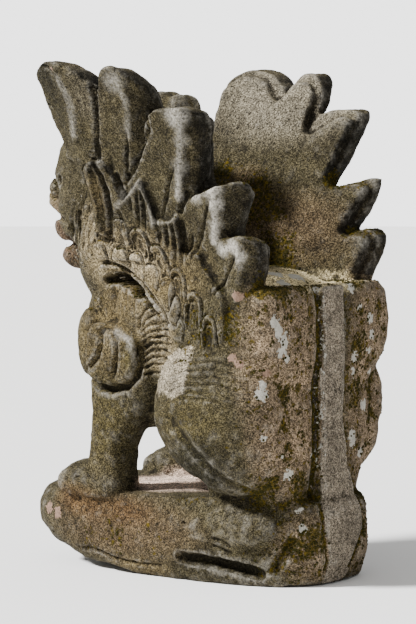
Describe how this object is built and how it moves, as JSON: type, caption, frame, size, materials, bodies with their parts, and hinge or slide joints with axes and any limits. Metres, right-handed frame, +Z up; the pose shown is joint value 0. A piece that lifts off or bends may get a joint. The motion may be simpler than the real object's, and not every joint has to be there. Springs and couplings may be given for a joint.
{
  "type": "winged lion statue",
  "caption": "Seated winged lion on a low rounded base, carved in one block of weathered volcanic stone.",
  "frame": {"origin": "middle of the statue's outline in plan, on the flat underside of the base", "axes": "+Z up, the lion faces -Y, its left side is +X"},
  "size_m": [0.5058, 0.4854, 0.6646],
  "materials": {
    "stone": "weathered, porous, with moss and lichen"
  },
  "bodies": {
    "root": {"winged_lion": "stone"}
  },
  "joints": []
}
